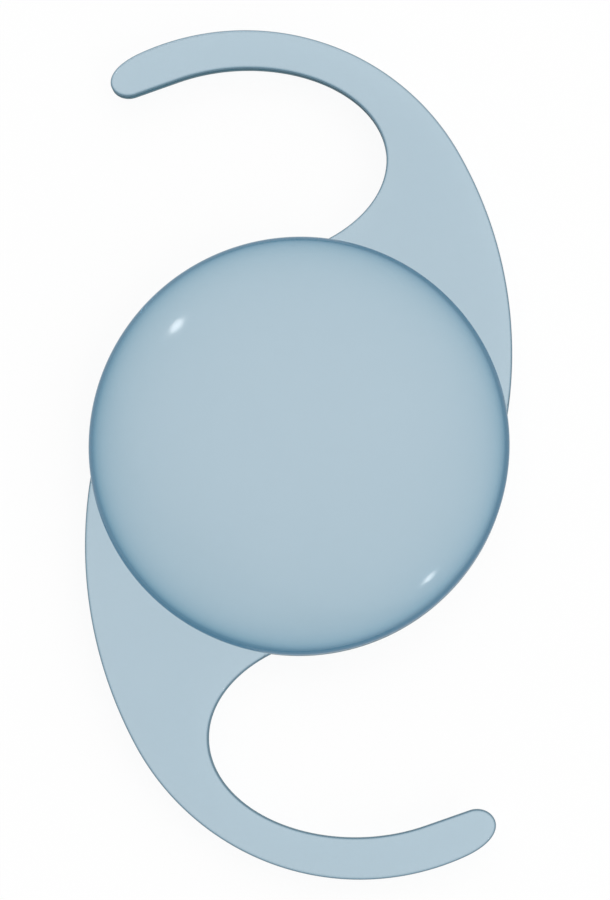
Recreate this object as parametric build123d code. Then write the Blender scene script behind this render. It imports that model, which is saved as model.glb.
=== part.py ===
from build123d import *
import os
from math import asin, cos, degrees, radians, sin, sqrt

# One-piece foldable intraocular lens: a biconvex optic with a haptic on each side, all one moulding.
# Millimetres and degrees. Z is the optical axis and +Z the front (anterior) side of the lens.
# The origin is the back (posterior) vertex, the point that the lens rests on.

# Optic
optic_diameter = 6.0
anterior_height = 0.62  # rise of the front surface, which steepens into the edge wall
posterior_radius = 25.0  # back surface
anterior_step = 0.08  # plain edge wall between the haptics' front face and the front surface
posterior_step = 0.03  # plain edge wall between the haptics' back face and the sharp back edge

# Haptics, drawn for the one on the +Y side
overall_diameter = 12.5  # circle that both haptics touch
haptic_count = 2
haptic_thickness = 0.20
edge_round = 0.045  # polished edges of the haptics

# Outer edge: the arm's arc touches the overall circle, and the root's arc leads it into the optic
arm_radius = 3.60
contact_angle = 108.5  # direction of the touching point, seen from the optical axis
arm_start_angle = 28.8  # stretch of the arm's arc, seen from its own centre
arm_end_angle = 114.0
root_angle = -7.5  # where the root's arc ends inside the optic, seen from the optical axis
root_inset = 0.175  # depth of that end under the optic's rim

# Inner edge: the gap between arm and optic is elliptical, and ends in a straight under the tip
arm_width = 0.58  # at the top of the gap
gap_length = 4.23  # long axis of the ellipse
gap_inset = 0.315  # depth of the ellipse under the optic's rim
gap_tilt = 2.0
gap_start_angle = 114.6  # stretch of the ellipse that is used, counted round it
gap_end_angle = -70.0
tip_straight = 0.66

# Nose of the tip: reach of the two handles that shape its curve
nose_outer_handle = 0.82
nose_inner_handle = 0.34

# Sizes that follow
optic_radius = optic_diameter / 2
overall_radius = overall_diameter / 2
posterior_edge_z = posterior_radius - sqrt(posterior_radius**2 - optic_radius**2)
haptic_back_z = posterior_edge_z + posterior_step
haptic_front_z = haptic_back_z + haptic_thickness
wall_top_z = haptic_front_z + anterior_step
apex_z = wall_top_z + anterior_height


def polar(radius, angle):
    """Point at a distance from the optical axis, in a direction counted from +X."""
    return Vector(radius * cos(radians(angle)), radius * sin(radians(angle)))


def make_optic():
    """Revolve the optic's half section: round back surface, edge wall and elliptical front surface."""
    back_sweep = degrees(asin(optic_radius / posterior_radius))
    with BuildPart() as optic:
        with BuildSketch(Plane.XZ):
            with BuildLine():
                back = CenterArc((0, posterior_radius), posterior_radius, -90, back_sweep)
                Line(back @ 1, (optic_radius, wall_top_z))
                front = Bezier(
                    (optic_radius, wall_top_z),
                    (optic_radius, apex_z),
                    (0, apex_z),
                    weights=[1, cos(radians(45)), 1],  # these weights make the curve a quarter ellipse
                )
                Line(front @ 1, back @ 0)
            make_face()
        revolve(axis=Axis.Z)
    return optic.part


def make_haptic():
    """Draw one haptic's outline, extrude it and round its edges. Its root reaches into the optic."""
    arm_centre = polar(overall_radius - arm_radius, contact_angle)
    gap_top = arm_centre.Y + arm_radius - arm_width
    gap_bottom = optic_radius - gap_inset
    gap_centre = (arm_centre.X, (gap_top + gap_bottom) / 2)
    gap_half_height = (gap_top - gap_bottom) / 2
    with BuildPart() as haptic:
        with BuildSketch(Plane.XY.offset(haptic_back_z)):
            with BuildLine():
                arm = CenterArc(arm_centre, arm_radius, arm_start_angle, arm_end_angle - arm_start_angle)
                root_end = polar(optic_radius - root_inset, root_angle)
                TangentArc(arm @ 0, root_end, tangent=-(arm % 0))
                gap = EllipticalCenterArc(
                    gap_centre,
                    gap_length / 2,
                    gap_half_height,
                    start_angle=gap_end_angle,
                    arc_size=gap_start_angle - gap_end_angle,
                    rotation=gap_tilt,
                )
                straight = Line(gap @ 1, gap @ 1 + tip_straight * (gap % 1))
                Bezier(
                    arm @ 1,
                    arm @ 1 + nose_outer_handle * (arm % 1),
                    straight @ 1 + nose_inner_handle * (gap % 1),
                    straight @ 1,
                )
                Polyline(gap @ 0, (0, 0), root_end)
            make_face()
        extrude(amount=haptic_thickness)
        fillet(haptic.edges().filter_by(GeomType.CIRCLE), edge_round)
    return haptic.part


def make_lens():
    """Turn the haptics evenly about the optical axis and join them with the optic into one solid."""
    haptic = make_haptic()
    with BuildPart() as lens:
        with PolarLocations(0, haptic_count):
            add(haptic)
        add(make_optic())
    return lens.part


os.makedirs("parts", exist_ok=True)
export_step(make_lens(), "parts/intraocular_lens.step")
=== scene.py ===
from math import atan2, cos, pi, radians, sin, sqrt

import bmesh
import bpy
from bpy.props import FloatProperty, FloatVectorProperty, IntProperty, PointerProperty
from mathutils import Matrix, Vector


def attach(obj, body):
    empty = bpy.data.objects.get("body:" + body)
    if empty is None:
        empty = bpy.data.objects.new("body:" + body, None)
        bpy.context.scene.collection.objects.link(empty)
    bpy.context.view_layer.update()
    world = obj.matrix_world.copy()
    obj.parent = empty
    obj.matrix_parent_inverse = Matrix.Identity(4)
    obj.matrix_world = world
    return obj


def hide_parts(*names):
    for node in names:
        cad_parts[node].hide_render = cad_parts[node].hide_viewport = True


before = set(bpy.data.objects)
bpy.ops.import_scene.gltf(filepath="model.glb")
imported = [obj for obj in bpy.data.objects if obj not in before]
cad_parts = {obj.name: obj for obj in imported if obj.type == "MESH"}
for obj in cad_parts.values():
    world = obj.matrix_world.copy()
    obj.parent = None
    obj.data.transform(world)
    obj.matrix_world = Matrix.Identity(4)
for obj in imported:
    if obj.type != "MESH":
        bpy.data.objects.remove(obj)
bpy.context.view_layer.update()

bl_info = {
    "name": "Intraocular Lens",
    "version": (1, 0, 0),
    "blender": (4, 5, 0),
    "location": "3D View > Sidebar > Lens",
    "description": "Builds a one-piece foldable intraocular lens of clear acrylic, and a stage for it",
    "category": "Object",
}

NODE = "intraocular_lens"

# Points along the strokes that are swept, and steps along the curve of the tip
FRONT_POINTS = 65
BACK_POINTS = 33
ROUND_POINTS = 7
NOSE_STEPS = 40

# The haptic's outline closes inside the optic, at a corner called the heel
HEEL_SHARE = 1 / 3  # distance from the optical axis, in optic radii
HEEL_BEARING = radians(33.75)

# Steps from the outline's two other hidden corners to the next points, long enough for the rounds not to fold
CORNER_STEPS = 5

LIP_REACH = 1.3  # how far the edge band reaches inwards, in edge rounds
WELD_DISTANCE = 1e-8
CREASE_ANGLE = radians(30)

# Upward part of a face's normal: nearer to zero than the first on walls, and less than the second on the back
WALL_LEAN = 0.35
BACK_LEAN = -0.05

# Attribute that holds how flat the surface lies, from 0 on a wall to 1 square to the axis, and 1 on the back
# The clear acrylic reads it to paint shade where the surface leans over
FLATNESS = "flatness"

# How flat a face lies, and how many times over the painted shade of the leaning tint darkens the light there
SHADE_DEPTH_BY_FLATNESS = ((0.55, 5.0), (0.70, 4.5), (0.77, 3.0), (0.846, 1.6), (0.92, 0.70), (0.95, 0.40), (0.975, 0.18))
MOST_SHADE_DEPTH = 5.2

# Unevenness of the moulding, on the polished faces and on the edge walls
FACE_GRAIN = {"Scale": 700.0, "Spread": 0.012}
WALL_GRAIN = {"Scale": 2500.0, "Spread": 0.08}
GRAIN_DETAIL = 2.0
FINE_GRAIN = 12.0  # how many times finer the bump is than the change of colour and gloss
NOISE_LOW = 0.3  # noise from here to the next value fills the spread
NOISE_HIGH = 0.7
BUMP_STRENGTH = 0.1
BUMP_DEPTH = 0.000002

# Directions from the lens to the camera, the two small lamps and the two soft banks
CAMERA_FROM = (0.0536, -0.1228, 0.9910)
KEY_FROM = (-0.4445, 0.5008, 0.7427)
KICKER_FROM = (0.4972, -0.4552, 0.7386)
HIGH_BANK_FROM = (0.482, 0.772, 0.415)
LOW_BANK_FROM = (0.527, -0.850, 0.0)

# How narrow the banks are: the power of the cosine that their light falls off with
HIGH_BANK_FOCUS = 0.5
LOW_BANK_FOCUS = 2.5

# Camera: shift of the picture as a share of its longer side, and range of sight in metres
CAMERA_SHIFT = (0.0073, -0.0062)
CAMERA_RANGE = (0.001, 10.0)


def size(name, description, default):
    """Length property in metres."""
    return FloatProperty(name=name, description=description, default=default, min=0.0, precision=6,
                         subtype="DISTANCE", unit="LENGTH")


def turn(name, description, default):
    """Angle property, given in degrees."""
    return FloatProperty(name=name, description=description, default=radians(default),
                         subtype="ANGLE", unit="ROTATION")


def tint(name, description, default):
    """Colour property."""
    return FloatVectorProperty(name=name, description=description, default=default, size=3,
                               min=0.0, max=1.0, subtype="COLOR")


def factor(name, description, default, most=1.0):
    """Plain number property, from zero up."""
    return FloatProperty(name=name, description=description, default=default, min=0.0, max=most,
                         subtype="FACTOR")


def watts(name, description, default):
    """Lamp power property."""
    return FloatProperty(name=name, description=description, default=default, min=0.0, precision=4,
                         subtype="POWER", unit="POWER")


def number(name, description, default, least, most):
    """Whole number property."""
    return IntProperty(name=name, description=description, default=default, min=least, max=most)


class LensShape(bpy.types.PropertyGroup):
    """Sizes of the optic and of the two haptics"""

    optic_diameter: size("Optic Diameter", "Width of the optic", 0.006)
    anterior_height: size("Anterior Height", "Rise of the front surface above the edge wall", 0.00062)
    posterior_radius: size("Posterior Radius", "Radius of the back surface", 0.025)
    anterior_step: size("Anterior Step", "Edge wall above the haptics", 0.00008)
    posterior_step: size("Posterior Step", "Edge wall under the haptics", 0.00003)
    overall_diameter: size("Overall Diameter", "Circle that both haptics touch", 0.0125)
    haptic_count: number("Haptic Count", "Haptics round the optic", 2, 1, 4)
    haptic_thickness: size("Haptic Thickness", "Thickness of the haptic plates", 0.0002)
    edge_round: size("Edge Round", "Radius of the haptics' polished edges", 0.000045)
    arm_radius: size("Arm Radius", "Radius of the arm's outer edge", 0.0036)
    contact_angle: turn("Contact Angle", "Direction of the point that touches the overall circle", 108.5)
    arm_start: turn("Arm Start", "Start of the arm's arc, seen from its own centre", 28.8)
    arm_end: turn("Arm End", "End of the arm's arc, seen from its own centre", 114.0)
    root_angle: turn("Root Angle", "Direction in which the root's arc ends inside the optic", -7.5)
    root_inset: size("Root Inset", "Depth of the root's end under the optic's rim", 0.000175)
    arm_width: size("Arm Width", "Width of the arm at the top of the gap", 0.00058)
    gap_length: size("Gap Length", "Long axis of the elliptical gap", 0.00423)
    gap_inset: size("Gap Inset", "Depth of the gap's ellipse under the optic's rim", 0.000315)
    gap_tilt: turn("Gap Tilt", "Turn of the gap's ellipse", 2.0)
    gap_start: turn("Gap Start", "Start of the gap, counted round its ellipse", 114.6)
    gap_end: turn("Gap End", "End of the gap, counted round its ellipse", -70.0)
    tip_straight: size("Tip Straight", "Straight edge under the tip", 0.00066)
    nose_outer: size("Nose Outer Handle", "Reach of the outer handle of the tip's curve", 0.00082)
    nose_inner: size("Nose Inner Handle", "Reach of the inner handle of the tip's curve", 0.00034)
    turn_steps: number("Turn Steps", "Steps round the optic", 288, 48, 720)
    edge_spacing: size("Edge Spacing", "Distance between points along the haptic's edge", 0.00004)


class LensFinish(bpy.types.PropertyGroup):
    """Colours, painted shade and gloss of the acrylic"""

    body_tint: tint("Body Tint", "Colour of white light after the acrylic", (0.449, 0.577, 0.660))
    # Painted shade: the rim and line tints darken the optic's rim and the haptics' rounded edges where they
    # lean over
    rim_shade_tint: tint("Rim Tint", "Colour that is added where the optic leans over", (0.475, 0.646, 0.729))
    line_shade_tint: tint("Line Tint", "Colour that is added along the haptics' edges", (0.555, 0.645, 0.685))
    shadow_tint: tint("Shadow Tint", "Colour of lamplight that has passed a face", (0.75, 0.83, 0.87))
    # Painted shade: the edge walls' dark colour, with a paler foot
    edge_shade_tint: tint("Edge Tint", "Colour of the edge walls", (0.04, 0.122, 0.172))
    foot_tint: tint("Foot Tint", "Colour at the foot of the edge walls", (0.20, 0.27, 0.29))
    leaving_tint: tint("Leaving Tint", "Colour of light that leaves by the edge walls", (0.70, 0.79, 0.84))
    wall_fade: factor("Wall Fade", "Share of the haptics' thickness that the foot's colour fades over", 0.7)
    polish: factor("Polish Roughness", "Roughness of the polished faces", 0.09)
    edge_roughness: factor("Edge Roughness", "Roughness of the satin edge walls", 0.5)
    edge_gloss: factor("Edge Gloss", "Strength of the satin edge walls' reflections", 0.05)
    index: factor("Refractive Index", "Refractive index of the acrylic", 1.47, 2.0)


class LensStage(bpy.types.PropertyGroup):
    """Floor, light and camera"""

    floor_tint: tint("Floor Tint", "Colour of the floor", (0.95, 0.95, 0.95))
    floor_glow: factor("Floor Glow", "Share of plain white in what is seen of the floor", 0.9)
    floor_reach: size("Floor Reach", "Half the width of the floor", 0.3)
    floor_drop: size("Floor Drop", "Gap that keeps the floor clear of the lens", 0.000002)
    room_level: factor("Room Level", "Light from all round", 0.12, 2.0)
    backdrop_level: factor("Backdrop Level", "Least light that the lens mirrors", 0.45)
    high_bank: factor("High Bank", "Light of the broad soft bank over the upper right", 1.38, 10.0)
    low_bank: factor("Low Bank", "Light of the low soft bank on the lower right", 2.0, 10.0)
    key_power: watts("Key Power", "Power of the lamp on the upper left", 0.0049)
    key_width: size("Key Width", "Width of the lamp on the upper left", 0.0114)
    key_height: size("Key Height", "Height of the lamp on the upper left", 0.0146)
    kicker_power: watts("Kicker Power", "Power of the lamp on the lower right", 0.0056)
    kicker_width: size("Kicker Width", "Width of the lamp on the lower right", 0.0125)
    kicker_height: size("Kicker Height", "Height of the lamp on the lower right", 0.016)
    lamp_distance: size("Lamp Distance", "Distance of the lamps from the lens", 0.202)
    camera_distance: size("Camera Distance", "Distance of the camera from the optic", 0.033)
    focal_length: FloatProperty(name="Focal Length", description="Lens of the camera in millimetres",
                                default=92.56, min=1.0, subtype="DISTANCE_CAMERA", unit="CAMERA")


def polar(radius, angle):
    """Point at a distance from the optical axis, in a direction counted from +X."""
    return Vector((radius * cos(angle), radius * sin(angle), 0.0))


def levels(shape):
    """Heights of the back edge, the haptic's back face and the foot of the front surface."""
    rim = shape.optic_diameter / 2
    back_edge = shape.posterior_radius - sqrt(shape.posterior_radius**2 - rim**2)
    haptic_back = back_edge + shape.posterior_step
    wall_top = haptic_back + shape.haptic_thickness + shape.anterior_step
    return back_edge, haptic_back, wall_top


def arc_points(centre, radius, start, end, spacing):
    """Points along an arc, both ends included."""
    count = max(2, round(abs(end - start) * radius / spacing))
    return [centre + polar(radius, start + (end - start) * i / count) for i in range(count + 1)]


def bezier_points(a, b, c, d, count):
    """Points along a cubic curve, both ends included."""
    points = []
    for i in range(count + 1):
        t = i / count
        s = 1.0 - t
        points.append(s**3 * a + 3 * s * s * t * b + 3 * s * t * t * c + t**3 * d)
    return points


def root_points(shape, arm_foot):
    """Points of the root's arc, from inside the optic to where it runs smoothly into the arm."""
    root_end = polar(shape.optic_diameter / 2 - shape.root_inset, shape.root_angle)
    outward = polar(1.0, shape.arm_start)
    reach = root_end - arm_foot
    radius = -reach.length_squared / (2 * reach.dot(outward))
    centre = arm_foot - radius * outward
    spoke = root_end - centre
    return arc_points(centre, radius, atan2(spoke.y, spoke.x), shape.arm_start, shape.edge_spacing)


def gap_points(shape, arm_centre):
    """Points of the gap's edge, from the tip's straight to inside the optic, and the straight's heading."""
    top = arm_centre.y + shape.arm_radius - shape.arm_width
    bottom = shape.optic_diameter / 2 - shape.gap_inset
    half_length = shape.gap_length / 2
    half_height = (top - bottom) / 2
    centre = Vector((arm_centre.x, (top + bottom) / 2, 0.0))
    tilt = Matrix.Rotation(shape.gap_tilt, 3, "Z")
    stretch = shape.gap_start - shape.gap_end
    count = round(stretch * (half_length + half_height) / 2 / shape.edge_spacing)
    points = []
    for i in range(count + 1):
        angle = shape.gap_start - stretch * i / count
        points.append(centre + tilt @ Vector((half_length * cos(angle), half_height * sin(angle), 0.0)))
    heading = Vector((-half_length * sin(shape.gap_start), half_height * cos(shape.gap_start), 0.0))
    return points, (tilt @ heading).normalized()


def haptic_outline(shape):
    """Outline of the haptic on the +Y side, anticlockwise, from its root inside the optic."""
    arm_centre = polar(shape.overall_diameter / 2 - shape.arm_radius, shape.contact_angle)
    arm = arc_points(arm_centre, shape.arm_radius, shape.arm_start, shape.arm_end, shape.edge_spacing)
    arm_heading = polar(1.0, shape.arm_end + pi / 2)
    root = root_points(shape, arm[0])
    gap, gap_heading = gap_points(shape, arm_centre)
    tip_end = gap[0] + shape.tip_straight * gap_heading
    nose = bezier_points(arm[-1], arm[-1] + shape.nose_outer * arm_heading,
                         tip_end + shape.nose_inner * gap_heading, tip_end, NOSE_STEPS)
    steps = round(shape.tip_straight / shape.edge_spacing)
    straight = [tip_end.lerp(gap[0], i / steps) for i in range(1, steps)]
    heel = polar(HEEL_SHARE * shape.optic_diameter / 2, HEEL_BEARING)
    outer = root[:1] + root[CORNER_STEPS:] + arm[1:]
    inner = straight + gap[:-CORNER_STEPS] + gap[-1:]
    return outer + nose[1:] + inner + [heel]


def make_curve(name, points):
    """Closed curve object through the points."""
    data = bpy.data.curves.new(name, "CURVE")
    data.dimensions = "3D"
    spline = data.splines.new("POLY")
    spline.points.add(len(points) - 1)
    for knot, point in zip(spline.points, points):
        knot.co = (*point, 1.0)
    spline.use_cyclic_u = True
    curve = bpy.data.objects.new(name, data)
    bpy.context.scene.collection.objects.link(curve)
    return curve


def put(tree, kind, inputs=None, **settings):
    """Add a node, set it up, and link or set its inputs."""
    node = tree.nodes.new(kind)
    for name, value in settings.items():
        setattr(node, name, value)
    for key, value in (inputs or {}).items():
        if isinstance(value, bpy.types.NodeSocket):
            tree.links.new(value, node.inputs[key])
        else:
            node.inputs[key].default_value = value
    return node


def compute(tree, operation, first, second=0.0):
    """Output of a Math node."""
    return put(tree, "ShaderNodeMath", {0: first, 1: second}, operation=operation).outputs[0]


def vector_math(tree, operation, inputs):
    """Vector Math node."""
    return put(tree, "ShaderNodeVectorMath", inputs, operation=operation)


def compare(tree, operation, first, second):
    """Output of a Compare node for two numbers."""
    return put(tree, "FunctionNodeCompare", {0: first, 1: second}, operation=operation).outputs[0]


def both(tree, first, second):
    """Output of a Boolean Math node that is true where both of its inputs are."""
    return put(tree, "FunctionNodeBooleanMath", {0: first, 1: second}, operation="AND").outputs[0]


def xyz(tree, x=0.0, y=0.0, z=0.0):
    """Output of a Combine XYZ node."""
    return put(tree, "ShaderNodeCombineXYZ", {0: x, 1: y, 2: z}).outputs[0]


def upward(tree, vector):
    """Z part of a vector."""
    return put(tree, "ShaderNodeSeparateXYZ", {0: vector}).outputs[2]


def mixed_colour(tree, share, first, second):
    """Output of a Mix node that goes from one colour to another."""
    ends = {0: share, 6: (*first, 1.0), 7: (*second, 1.0)}
    return put(tree, "ShaderNodeMix", ends, data_type="RGBA").outputs[2]


def move(tree, geometry, translation):
    """Output of a Transform node that moves geometry."""
    return put(tree, "GeometryNodeTransform", {"Geometry": geometry, "Translation": translation}).outputs[0]


def weld(tree, geometry):
    """Output of a Merge by Distance node."""
    merge = {"Geometry": geometry, "Distance": WELD_DISTANCE}
    return put(tree, "GeometryNodeMergeByDistance", merge).outputs[0]


def line(tree, start, end):
    """Straight stroke of a section."""
    return put(tree, "GeometryNodeCurvePrimitiveLine", {"Start": start, "End": end}).outputs[0]


def arc(tree, points, radius, start, sweep_angle, centre, scale=(1.0, 1.0, 1.0)):
    """Round stroke of a section."""
    stroke = put(tree, "GeometryNodeCurveArc", {
        "Resolution": points, "Radius": radius, "Start Angle": start, "Sweep Angle": sweep_angle,
    }, mode="RADIUS").outputs["Curve"]
    placed = {"Geometry": stroke, "Translation": centre, "Scale": scale}
    return put(tree, "GeometryNodeTransform", placed).outputs[0]


def sweep(tree, path, strokes):
    """Sweep the strokes of a section, drawn with their heights upwards, along a path, and weld them."""
    join = put(tree, "GeometryNodeJoinGeometry")
    for stroke in reversed(strokes):
        tree.links.new(stroke, join.inputs[0])
    section = put(tree, "GeometryNodeTransform", {"Geometry": join.outputs[0], "Scale": (1.0, -1.0, 1.0)})
    band = put(tree, "GeometryNodeCurveToMesh", {"Curve": path, "Profile Curve": section.outputs[0]})
    return weld(tree, band.outputs[0])


def build_optic(tree, given):
    """Nodes that turn the optic's half section round the optical axis."""
    rim = given["Optic Radius"]
    back = given["Back Radius"]
    back_turn = compute(tree, "ARCSINE", compute(tree, "DIVIDE", rim, back))
    back_start = compute(tree, "SUBTRACT", back_turn, pi / 2)
    back_sweep = compute(tree, "MULTIPLY", back_turn, -1.0)
    axis = compute(tree, "MULTIPLY", rim, -1.0)
    front = arc(tree, FRONT_POINTS, 1.0, pi / 2, -pi / 2, xyz(tree, axis, given["Wall Top"]),
                xyz(tree, rim, given["Front Rise"], 1.0))
    wall = line(tree, xyz(tree, y=given["Wall Top"]), xyz(tree, y=given["Wall Bottom"]))
    rear = arc(tree, BACK_POINTS, back, back_start, back_sweep, xyz(tree, axis, back))
    circle = put(tree, "GeometryNodeCurvePrimitiveCircle", {"Resolution": given["Turn Steps"], "Radius": rim})
    return sweep(tree, circle.outputs["Curve"], [front, wall, rear])


def build_haptic(tree, given):
    """Nodes that make a plate with rounded edges from the outline."""
    round_off = given["Edge Round"]
    thick = given["Thickness"]
    lip = compute(tree, "MULTIPLY", round_off, -LIP_REACH)
    inset = compute(tree, "MULTIPLY", round_off, -1.0)
    upper = compute(tree, "SUBTRACT", thick, round_off)
    band = sweep(tree, given["Geometry"], [
        line(tree, xyz(tree, lip, thick), xyz(tree, inset, thick)),
        arc(tree, ROUND_POINTS, round_off, pi / 2, -pi / 2, xyz(tree, inset, upper)),
        line(tree, xyz(tree, y=upper), xyz(tree, y=round_off)),
        arc(tree, ROUND_POINTS, round_off, 0.0, -pi / 2, xyz(tree, inset, round_off)),
        line(tree, xyz(tree, inset), xyz(tree, lip)),
    ])
    open_edge = put(tree, "FunctionNodeCompare", {
        "A": put(tree, "GeometryNodeInputMeshEdgeNeighbors").outputs[0], "B": 1,
    }, data_type="INT", operation="EQUAL").outputs[0]
    height = upward(tree, put(tree, "GeometryNodeInputPosition").outputs[0])
    high = compare(tree, "GREATER_THAN", height, round_off)
    upper_rim = both(tree, open_edge, high)
    loop = put(tree, "GeometryNodeMeshToCurve", {"Mesh": band, "Selection": upper_rim}).outputs[0]
    face = put(tree, "GeometryNodeFillCurve", {"Curve": loop}).outputs[0]
    top = move(tree, face, xyz(tree, z=thick))
    under = put(tree, "GeometryNodeFlipFaces", {"Mesh": face}).outputs[0]
    join = put(tree, "GeometryNodeJoinGeometry")
    for part in (under, top, band):
        tree.links.new(part, join.inputs[0])
    plate = weld(tree, join.outputs[0])
    return move(tree, plate, xyz(tree, z=given["Haptic Back"]))


def join_lens(tree, given):
    """Nodes that repeat the haptic round the optical axis and join the copies with the optic."""
    optic = build_optic(tree, given)
    haptic = build_haptic(tree, given)
    share = compute(tree, "DIVIDE", 2 * pi, given["Haptic Count"])
    bearing = compute(tree, "MULTIPLY", put(tree, "GeometryNodeInputIndex").outputs[0], share)
    points = put(tree, "GeometryNodePoints", {"Count": given["Haptic Count"]})
    copies = put(tree, "GeometryNodeInstanceOnPoints", {
        "Points": points.outputs[0], "Instance": haptic, "Rotation": xyz(tree, z=bearing),
    })
    haptics = put(tree, "GeometryNodeRealizeInstances", {"Geometry": copies.outputs[0]}).outputs[0]
    union = put(tree, "GeometryNodeMeshBoolean", operation="UNION", solver="MANIFOLD")
    for part in (haptics, optic):
        tree.links.new(part, union.inputs["Mesh 2"])
    return union.outputs[0]


def shade_faces(tree, solid):
    """Nodes that shade the faces smooth between the sharp edges."""
    smooth = put(tree, "GeometryNodeSetShadeSmooth", {"Geometry": solid}, domain="FACE")
    edge_angle = put(tree, "GeometryNodeInputMeshEdgeAngle").outputs["Unsigned Angle"]
    crease = compare(tree, "GREATER_THAN", edge_angle, CREASE_ANGLE)
    return put(tree, "GeometryNodeSetShadeSmooth", {
        "Geometry": smooth.outputs[0], "Selection": crease, "Shade Smooth": False,
    }, domain="EDGE").outputs[0]


def finish_faces(tree, given, solid):
    """Nodes that note how flat the faces lie, and set the materials of the faces and the edge walls."""
    lean = upward(tree, put(tree, "GeometryNodeInputNormal").outputs[0])
    height = upward(tree, put(tree, "GeometryNodeInputPosition").outputs[0])
    steep = compare(tree, "LESS_THAN", compute(tree, "ABSOLUTE", lean), WALL_LEAN)
    low = compare(tree, "LESS_THAN", height, given["Wall Top"])
    wall = both(tree, steep, low)
    facing_back = compare(tree, "LESS_THAN", lean, BACK_LEAN)
    flatness = put(tree, "GeometryNodeSwitch", {"Switch": facing_back, "False": lean, "True": 1.0},
                   input_type="FLOAT").outputs[0]
    noted = put(tree, "GeometryNodeStoreNamedAttribute", {
        "Geometry": solid, "Name": FLATNESS, "Value": flatness,
    }, data_type="FLOAT", domain="CORNER").outputs[0]
    whole = put(tree, "GeometryNodeRealizeInstances", {"Geometry": noted}).outputs[0]
    clear = put(tree, "GeometryNodeSetMaterial", {
        "Geometry": whole, "Material": given["Body Material"],
    }).outputs[0]
    return put(tree, "GeometryNodeSetMaterial", {
        "Geometry": clear, "Selection": wall, "Material": given["Edge Material"],
    }).outputs[0]


def lens_tree():
    """Geometry Nodes tree that makes the whole lens from the outline of one haptic."""
    tree = bpy.data.node_groups.new("Lens Body", "GeometryNodeTree")
    face = tree.interface
    face.new_socket("Geometry", in_out="OUTPUT", socket_type="NodeSocketGeometry")
    face.new_socket("Geometry", in_out="INPUT", socket_type="NodeSocketGeometry")
    for name in ("Optic Radius", "Front Rise", "Back Radius", "Wall Bottom", "Wall Top",
                 "Haptic Back", "Thickness", "Edge Round"):
        face.new_socket(name, in_out="INPUT", socket_type="NodeSocketFloat").subtype = "DISTANCE"
    for name in ("Haptic Count", "Turn Steps"):
        face.new_socket(name, in_out="INPUT", socket_type="NodeSocketInt")
    for name in ("Body Material", "Edge Material"):
        face.new_socket(name, in_out="INPUT", socket_type="NodeSocketMaterial")
    given = put(tree, "NodeGroupInput").outputs
    solid = shade_faces(tree, join_lens(tree, given))
    put(tree, "NodeGroupOutput", {0: finish_faces(tree, given, solid)})
    return tree


def grown(source, tree, values):
    """Plain mesh that a tree makes of a source object."""
    modifier = source.modifiers.new(tree.name, "NODES")
    modifier.node_group = tree
    for item in tree.interface.items_tree:
        if item.item_type == "SOCKET" and item.in_out == "INPUT" and item.name in values:
            modifier[item.identifier] = values[item.name]
    graph = bpy.context.evaluated_depsgraph_get()
    mesh = bpy.data.meshes.new_from_object(source.evaluated_get(graph))
    source.modifiers.remove(modifier)
    return mesh


def check_closed(mesh):
    """Stop with an error if a mesh has open edges or is inside out."""
    work = bmesh.new()
    work.from_mesh(mesh)
    loose = [edge for edge in work.edges if len(edge.link_faces) != 2]
    volume = work.calc_volume(signed=True)
    work.free()
    if loose or volume <= 0.0:
        raise RuntimeError(f"The lens isn't a closed solid: {len(loose)} open edges, volume {volume}")


def new_material(name):
    """Empty material, its node tree and its output node."""
    material = bpy.data.materials.new(name)
    material.use_nodes = True
    material.node_tree.nodes.clear()
    output = material.node_tree.nodes.new("ShaderNodeOutputMaterial")
    return material, material.node_tree, output


def grain_group():
    """Shader group of the faint unevenness of moulded acrylic, a value round one and a fine height."""
    tree = bpy.data.node_groups.new("Moulded Grain", "ShaderNodeTree")
    face = tree.interface
    face.new_socket("Scale", in_out="INPUT", socket_type="NodeSocketFloat")
    face.new_socket("Spread", in_out="INPUT", socket_type="NodeSocketFloat")
    face.new_socket("Value", in_out="OUTPUT", socket_type="NodeSocketFloat")
    face.new_socket("Height", in_out="OUTPUT", socket_type="NodeSocketFloat")
    given = put(tree, "NodeGroupInput").outputs
    place = put(tree, "ShaderNodeTexCoord").outputs["Object"]
    fine_scale = compute(tree, "MULTIPLY", given["Scale"], FINE_GRAIN)
    broad = put(tree, "ShaderNodeTexNoise", {
        "Vector": place, "Scale": given["Scale"], "Detail": GRAIN_DETAIL,
    })
    fine = put(tree, "ShaderNodeTexNoise", {
        "Vector": place, "Scale": fine_scale, "Detail": GRAIN_DETAIL,
    })
    low = compute(tree, "SUBTRACT", 1.0, given["Spread"])
    high = compute(tree, "ADD", 1.0, given["Spread"])
    value = put(tree, "ShaderNodeMapRange", {
        0: broad.outputs[0], 1: NOISE_LOW, 2: NOISE_HIGH, 3: low, 4: high,
    })
    put(tree, "NodeGroupOutput", {"Value": value.outputs[0], "Height": fine.outputs[0]})
    return tree


def leaning_shade_tint(tree, shape, finish):
    """Painted shade colour for where the surface leans over, which differs on the optic and on the haptics.
    """
    place = put(tree, "ShaderNodeTexCoord").outputs["Object"]
    across = vector_math(tree, "MULTIPLY", {0: place, 1: (1.0, 1.0, 0.0)}).outputs[0]
    off_axis = vector_math(tree, "LENGTH", {0: across}).outputs["Value"]
    on_haptic = compute(tree, "GREATER_THAN", off_axis, shape.optic_diameter / 2)
    return mixed_colour(tree, on_haptic, finish.rim_shade_tint, finish.line_shade_tint)


def leaning_shade_depth(tree):
    """How many times over the painted shade colours the light, which grows as the surface leans over."""
    flatness = put(tree, "ShaderNodeAttribute", attribute_name=FLATNESS).outputs["Fac"]
    ramp = put(tree, "ShaderNodeFloatCurve", {"Value": flatness})
    curve = ramp.mapping.curves[0]
    curve.points[0].location = (0.0, 1.0)
    curve.points[-1].location = (1.0, 0.0)
    for flat, depth in SHADE_DEPTH_BY_FLATNESS:
        curve.points.new(flat, depth / MOST_SHADE_DEPTH)
    ramp.mapping.update()
    return compute(tree, "MULTIPLY", ramp.outputs[0], MOST_SHADE_DEPTH)


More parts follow.
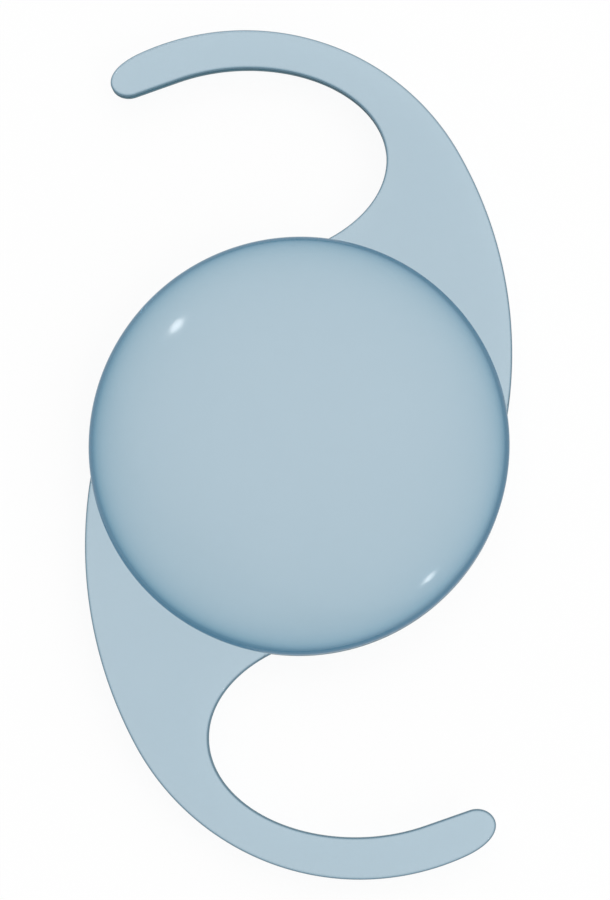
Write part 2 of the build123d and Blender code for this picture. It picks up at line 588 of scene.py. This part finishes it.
def clear_acrylic(shape, finish, grain):
    """Clear polished acrylic with a pale blue tint, and painted shade that darkens it where the surface leans
    over.
    """
    material, tree, output = new_material("clear_acrylic")
    mould = put(tree, "ShaderNodeGroup", FACE_GRAIN, node_tree=grain).outputs
    body = put(tree, "ShaderNodeGamma", {"Color": (*finish.body_tint, 1.0), "Gamma": mould["Value"]})
    # Painted shade that darkens the surface where it leans over
    rim = put(tree, "ShaderNodeGamma", {
        "Color": leaning_shade_tint(tree, shape, finish), "Gamma": leaning_shade_depth(tree),
    })
    colour = vector_math(tree, "MULTIPLY", {0: body.outputs[0], 1: rim.outputs[0]}).outputs[0]
    rough = compute(tree, "MULTIPLY", mould["Value"], finish.polish)
    glass = put(tree, "ShaderNodeBsdfPrincipled", {
        "Base Color": colour, "Roughness": rough, "IOR": finish.index, "Transmission Weight": 1.0,
    })
    passing = put(tree, "ShaderNodeBsdfTransparent", {"Color": (*finish.shadow_tint, 1.0)})
    from_lamp = put(tree, "ShaderNodeLightPath").outputs["Is Shadow Ray"]
    mix = put(tree, "ShaderNodeMixShader", {0: from_lamp, 1: glass.outputs[0], 2: passing.outputs[0]})
    tree.links.new(mix.outputs[0], output.inputs["Surface"])
    return material


def edge_acrylic(shape, finish, grain):
    """Satin edge walls, darkened below the faces' colour by painted shade, darkest at the top and paler
    towards their foot.
    """
    material, tree, output = new_material("edge_acrylic")
    mould = put(tree, "ShaderNodeGroup", WALL_GRAIN, node_tree=grain).outputs
    foot = levels(shape)[1]
    height = upward(tree, put(tree, "ShaderNodeTexCoord").outputs["Object"])
    risen = put(tree, "ShaderNodeMapRange", {
        0: height, 1: foot, 2: foot + finish.wall_fade * shape.haptic_thickness,
    }, interpolation_type="SMOOTHSTEP").outputs[0]
    # Painted shade on the walls, dark at the top and paler at the foot
    fade = mixed_colour(tree, risen, finish.foot_tint, finish.edge_shade_tint)
    colour = vector_math(tree, "SCALE", {0: fade, "Scale": mould["Value"]}).outputs[0]
    rough = compute(tree, "MULTIPLY", mould["Value"], finish.edge_roughness)
    bump = put(tree, "ShaderNodeBump", {
        "Strength": BUMP_STRENGTH, "Distance": BUMP_DEPTH, "Height": mould["Height"],
    })
    satin = put(tree, "ShaderNodeBsdfPrincipled", {
        "Base Color": colour, "Roughness": rough, "IOR": finish.index,
        "Specular IOR Level": finish.edge_gloss, "Normal": bump.outputs[0],
    })
    leaving = put(tree, "ShaderNodeBsdfTransparent", {"Color": (*finish.leaving_tint, 1.0)})
    inside = put(tree, "ShaderNodeNewGeometry").outputs["Backfacing"]
    mix = put(tree, "ShaderNodeMixShader", {0: inside, 1: satin.outputs[0], 2: leaving.outputs[0]})
    tree.links.new(mix.outputs[0], output.inputs["Surface"])
    return material


def seen_directly(tree):
    """One for what the camera sees, also by reflection or through glass, and zero for light that falls."""
    rays = put(tree, "ShaderNodeLightPath").outputs
    mirrored = compute(tree, "MAXIMUM", rays["Is Camera Ray"], rays["Is Glossy Ray"])
    return compute(tree, "MAXIMUM", mirrored, rays["Is Transmission Ray"])


def bank_light(tree, way, heading, focus, strength):
    """Light of a soft bank, strongest along its heading."""
    toward = vector_math(tree, "DOT_PRODUCT", {0: way, 1: heading}).outputs["Value"]
    soft = compute(tree, "POWER", compute(tree, "MAXIMUM", toward, 0.0), focus)
    return compute(tree, "MULTIPLY", soft, strength)


class LENS_OT_body(bpy.types.Operator):
    """Make the lens, the optic and its haptics in one moulding"""

    bl_idname = "lens.body"
    bl_label = "Lens Body"

    def execute(self, context):
        shape = context.scene.lens_shape
        finish = context.scene.lens_finish
        back_edge, haptic_back, wall_top = levels(shape)
        grain = grain_group()
        outline = make_curve("haptic_outline", haptic_outline(shape))
        mesh = grown(outline, lens_tree(), {
            "Optic Radius": shape.optic_diameter / 2,
            "Front Rise": shape.anterior_height,
            "Back Radius": shape.posterior_radius,
            "Wall Bottom": back_edge,
            "Wall Top": wall_top,
            "Haptic Back": haptic_back,
            "Thickness": shape.haptic_thickness,
            "Edge Round": shape.edge_round,
            "Haptic Count": shape.haptic_count,
            "Turn Steps": shape.turn_steps,
            "Body Material": clear_acrylic(shape, finish, grain),
            "Edge Material": edge_acrylic(shape, finish, grain),
        })
        bpy.data.objects.remove(outline)
        mesh.name = "lens_moulding"
        check_closed(mesh)
        piece = bpy.data.objects.new("lens_moulding", mesh)
        context.scene.collection.objects.link(piece)
        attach(piece, "root")
        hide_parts(NODE)
        return {"FINISHED"}


class LENS_OT_stage(bpy.types.Operator):
    """Make the floor, the lamps, the world and the camera"""

    bl_idname = "lens.stage"
    bl_label = "Stage"

    def execute(self, context):
        scene = context.scene
        stage = scene.lens_stage
        self.make_floor(scene, stage)
        self.make_world(scene, stage)
        haptic_back = levels(scene.lens_shape)[1]
        aim = Vector((0.0, 0.0, haptic_back + scene.lens_shape.haptic_thickness))
        self.make_lamp(scene, "key", aim, stage.lamp_distance * Vector(KEY_FROM),
                       stage.key_width, stage.key_height, stage.key_power)
        self.make_lamp(scene, "kicker", aim, stage.lamp_distance * Vector(KICKER_FROM),
                       stage.kicker_width, stage.kicker_height, stage.kicker_power)
        self.make_camera(scene, stage, aim)
        scene.view_settings.view_transform = "Standard"
        return {"FINISHED"}

    def make_floor(self, scene, stage):
        """Pale floor that looks nearly plain white and keeps a faint shadow."""
        reach = stage.floor_reach
        mesh = bpy.data.meshes.new("floor")
        corners = [(x, y, -stage.floor_drop) for x, y in
                   ((-reach, -reach), (reach, -reach), (reach, reach), (-reach, reach))]
        mesh.from_pydata(corners, [], [(0, 1, 2, 3)])
        material, tree, output = new_material("floor_white")
        matte = put(tree, "ShaderNodeBsdfDiffuse", {"Color": (*stage.floor_tint, 1.0)})
        glow = put(tree, "ShaderNodeEmission", {"Strength": 1.0})
        part = compute(tree, "MULTIPLY", seen_directly(tree), stage.floor_glow)
        mix = put(tree, "ShaderNodeMixShader", {0: part, 1: matte.outputs[0], 2: glow.outputs[0]})
        tree.links.new(mix.outputs[0], output.inputs["Surface"])
        mesh.materials.append(material)
        floor = bpy.data.objects.new("floor", mesh)
        scene.collection.objects.link(floor)

    def make_world(self, scene, stage):
        """Dim room with two soft banks, and plain white to the camera and through the lens."""
        world = bpy.data.worlds.new("studio")
        world.use_nodes = True
        tree = world.node_tree
        tree.nodes.clear()
        rays = put(tree, "ShaderNodeLightPath").outputs
        way = put(tree, "ShaderNodeTexCoord").outputs["Generated"]
        high = bank_light(tree, way, HIGH_BANK_FROM, HIGH_BANK_FOCUS, stage.high_bank)
        low = bank_light(tree, way, LOW_BANK_FROM, LOW_BANK_FOCUS, stage.low_bank)
        light = compute(tree, "ADD", compute(tree, "ADD", stage.room_level, high), low)
        backdrop = compute(tree, "MULTIPLY", rays["Is Glossy Ray"], stage.backdrop_level)
        mirrored = compute(tree, "MAXIMUM", light, backdrop)
        seen = compute(tree, "MAXIMUM", rays["Is Camera Ray"], rays["Is Transmission Ray"])
        level = put(tree, "ShaderNodeMapRange", {0: seen, 3: mirrored, 4: 1.0})
        sky = put(tree, "ShaderNodeBackground", {"Color": (1.0, 1.0, 1.0, 1.0), "Strength": level.outputs[0]})
        put(tree, "ShaderNodeOutputWorld", {"Surface": sky.outputs[0]})
        scene.world = world

    def make_lamp(self, scene, name, aim, away, width, height, power):
        """Small lamp that makes a highlight on the front surface, and isn't seen through the lens."""
        data = bpy.data.lights.new(name, "AREA")
        data.shape = "ELLIPSE"
        data.size = width
        data.size_y = height
        data.energy = power
        lamp = bpy.data.objects.new(name, data)
        turned = away.to_track_quat("Z", "Y").to_matrix().to_4x4()
        lamp.matrix_world = Matrix.Translation(aim + away) @ turned
        lamp.visible_transmission = False
        scene.collection.objects.link(lamp)

    def make_camera(self, scene, stage, aim):
        """Camera that looks at the middle of the optic, with +Y upwards in the picture."""
        toward = Vector(CAMERA_FROM).normalized()
        right = Vector((0.0, 1.0, 0.0)).cross(toward).normalized()
        up = toward.cross(right)
        data = bpy.data.cameras.new("camera")
        data.lens = stage.focal_length
        data.shift_x, data.shift_y = CAMERA_SHIFT
        data.clip_start, data.clip_end = CAMERA_RANGE
        camera = bpy.data.objects.new("camera", data)
        turned = Matrix((right, up, toward)).transposed().to_4x4()
        camera.matrix_world = Matrix.Translation(aim + stage.camera_distance * toward) @ turned
        scene.collection.objects.link(camera)
        scene.camera = camera


class LENS_PT_panel(bpy.types.Panel):
    """Sizes, colours and makers of the lens"""

    bl_idname = "LENS_PT_panel"
    bl_label = "Intraocular Lens"
    bl_space_type = "VIEW_3D"
    bl_region_type = "UI"
    bl_category = "Lens"

    def draw(self, context):
        for group in ("lens_shape", "lens_finish", "lens_stage"):
            settings = getattr(context.scene, group)
            box = self.layout.box()
            for name in settings.__annotations__:
                box.prop(settings, name)
        for operator in (LENS_OT_body, LENS_OT_stage):
            self.layout.operator(operator.bl_idname)


CLASSES = (LensShape, LensFinish, LensStage, LENS_OT_body, LENS_OT_stage, LENS_PT_panel)


def register():
    """Make the classes and their settings known to Blender."""
    for cls in CLASSES:
        bpy.utils.register_class(cls)
    bpy.types.Scene.lens_shape = PointerProperty(type=LensShape)
    bpy.types.Scene.lens_finish = PointerProperty(type=LensFinish)
    bpy.types.Scene.lens_stage = PointerProperty(type=LensStage)


def unregister():
    """Take the settings and the classes away again."""
    del bpy.types.Scene.lens_stage
    del bpy.types.Scene.lens_finish
    del bpy.types.Scene.lens_shape
    for cls in reversed(CLASSES):
        bpy.utils.unregister_class(cls)


def main():
    """Build the lens and its stage."""
    register()
    bpy.ops.lens.body()
    bpy.ops.lens.stage()


if __name__ == "__main__":
    main()
